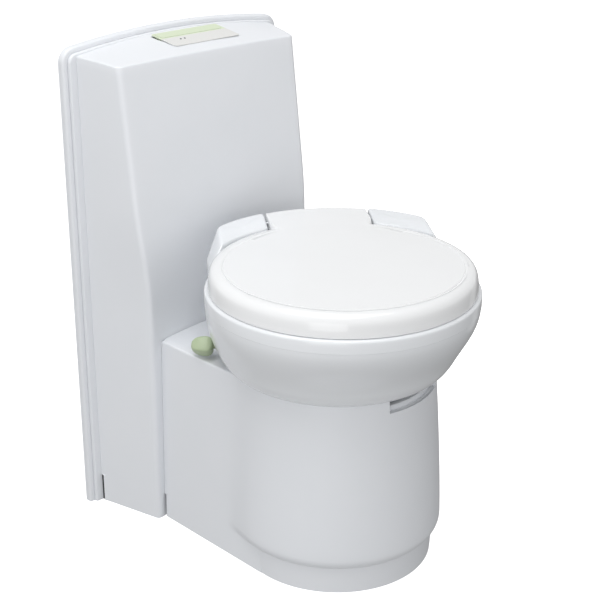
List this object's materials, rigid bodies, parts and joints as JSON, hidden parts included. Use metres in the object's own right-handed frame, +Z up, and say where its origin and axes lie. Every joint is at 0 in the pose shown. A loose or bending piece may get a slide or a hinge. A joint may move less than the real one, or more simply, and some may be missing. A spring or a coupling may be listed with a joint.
{
  "type": "cassette toilet",
  "caption": "Free-standing toilet with a swivelling round bowl on a pedestal, a tall tapered cistern column against the wall and a slide-out waste cassette",
  "frame": {"origin": "on the floor, on the vertical axis that the bowl turns about", "axes": "+Z up; the user sits facing -Y; the wall plane is at +Y, 380 mm behind the origin; the bowl is stored turned 35 degrees towards -X"},
  "size_m": [0.4471, 0.614, 0.787],
  "materials": {
    "white_abs": "satin moulded ABS",
    "grey_panel": "matt moulded sheet",
    "grey_fascia": "fine matt film",
    "sage_key": "soft matt",
    "smoked_lens": "clear gloss",
    "board": "solder mask",
    "grey_pan": "textured",
    "dark_pp": "textured",
    "natural_pe": "waxy",
    "black_pp": "textured",
    "hose_rubber": "satin",
    "screw_steel": "zinc plated",
    "white_liner": "polished",
    "pin_steel": "ground",
    "white_seat": "polished",
    "buffer_rubber": "matt",
    "sage_knob": "satin",
    "grey_hdpe": "blow-moulded grain",
    "seal_rubber": "matt",
    "float_foam": "foam"
  },
  "bodies": {
    "stand": {"wall_flange": "white_abs", "back_panel": "grey_panel", "column_shell": "white_abs", "fascia_plate": "grey_fascia", "indicator_lenses": "smoked_lens", "control_board": "board", "base_shell": "white_abs", "plinth": "white_abs", "floor_pan": "grey_pan", "guide_rails": "dark_pp", "neck_bearing": "dark_pp", "flush_water_tank": "natural_pe", "filler_neck": "natural_pe", "flush_pump": "black_pp", "flush_hose": "hose_rubber", "panel_screws": "screw_steel"},
    "flush_key": {"flush_key": "sage_key"},
    "filler_cap": {"filler_cap": "black_pp"},
    "bowl": {"bowl_shell": "white_abs", "bowl_liner": "white_liner", "outlet_tube": "grey_pan", "rim_ring": "white_abs", "hinge_ears": "white_abs", "swivel_collar": "dark_pp", "flush_nozzle": "grey_pan", "nozzle_pipe": "hose_rubber", "hinge_pins": "pin_steel"},
    "seat": {"seat_ring": "white_seat", "seat_buffers": "buffer_rubber"},
    "lid": {"lid_shell": "white_seat", "lid_tab": "white_seat", "lid_buffers": "buffer_rubber"},
    "lever": {"lever_hub": "dark_pp", "lever_arm": "dark_pp", "lever_knob": "sage_knob"},
    "cassette": {"waste_tank": "grey_hdpe", "handle_brackets": "grey_hdpe", "valve_housing": "dark_pp", "lip_seal": "seal_rubber", "blade_pin": "pin_steel", "spout_base": "dark_pp", "wheel_axle": "pin_steel"},
    "blade": {"valve_blade": "black_pp"},
    "spout": {"pour_spout": "dark_pp"},
    "spout_cap": {"spout_cap": "sage_knob"},
    "vent_button": {"vent_button": "sage_knob"},
    "carry_handle": {"carry_handle": "black_pp"},
    "wheels": {"cassette_wheels": "black_pp"},
    "float": {"level_float": "float_foam"}
  },
  "joints": [
    {"name": "flush_key_press", "type": "slide", "parent": "stand", "child": "flush_key", "axis": [0, 0.2799, -0.96], "range_m": [0, 0.0016], "stiffness_N_per_m": 600, "springref_m": -0.001},
    {"name": "filler_cap_turn", "type": "hinge", "parent": "stand", "child": "filler_cap", "pos_m": [0.1, 0.371, 0.65], "axis": [0, -1, 0], "range_deg": [0, 90]},
    {"name": "bowl_swivel", "type": "hinge", "parent": "stand", "child": "bowl", "pos_m": [0, 0, 0.317], "axis": [0, 0, 1], "range_deg": [-55, 125]},
    {"name": "seat_hinge", "type": "hinge", "parent": "bowl", "child": "seat", "pos_m": [0.10439, 0.14909, 0.482], "axis": [-0.8192, 0.5736, 0], "range_deg": [0, 86]},
    {"name": "lid_hinge", "type": "hinge", "parent": "seat", "child": "lid", "pos_m": [0.10439, 0.14909, 0.482], "axis": [-0.8192, 0.5736, 0], "range_deg": [0, 86]},
    {"name": "valve_lever", "type": "hinge", "parent": "bowl", "child": "lever", "pos_m": [0, 0, 0.336], "axis": [0, 0, -1], "range_deg": [0, 72]},
    {"name": "cassette_slide", "type": "slide", "parent": "stand", "child": "cassette", "axis": [0, 1, 0], "range_m": [0, 0.4]},
    {"name": "blade_turn", "type": "hinge", "parent": "cassette", "child": "blade", "pos_m": [-0.06, 0.074, 0.24], "axis": [0, 0, 1], "range_deg": [0, 72]},
    {"name": "spout_turn", "type": "hinge", "parent": "cassette", "child": "spout", "pos_m": [0.066, 0.284, 0.25], "axis": [0, 0, -1], "range_deg": [0, 90]},
    {"name": "spout_cap_turn", "type": "hinge", "parent": "spout", "child": "spout_cap", "pos_m": [-0.046, 0.284, 0.254], "axis": [-1, 0, 0], "range_deg": [0, 270]},
    {"name": "vent_button_press", "type": "slide", "parent": "cassette", "child": "vent_button", "axis": [0, 0, -1], "range_m": [0, 0.004], "stiffness_N_per_m": 300, "springref_m": -0.003},
    {"name": "carry_handle_swing", "type": "hinge", "parent": "cassette", "child": "carry_handle", "pos_m": [0, 0.346, 0.206], "axis": [1, 0, 0], "range_deg": [0, 100]},
    {"name": "wheel_spin", "type": "hinge", "parent": "cassette", "child": "wheels", "pos_m": [0, -0.068, 0.0263], "axis": [1, 0, 0], "continuous": true},
    {"name": "float_swing", "type": "hinge", "parent": "cassette", "child": "float", "pos_m": [0.04, 0.246, 0.218], "axis": [-1, 0, 0], "range_deg": [0, 26]}
  ],
  "couplings": [
    {"joint": "blade_turn", "follows": "valve_lever", "ratio": 1}
  ]
}
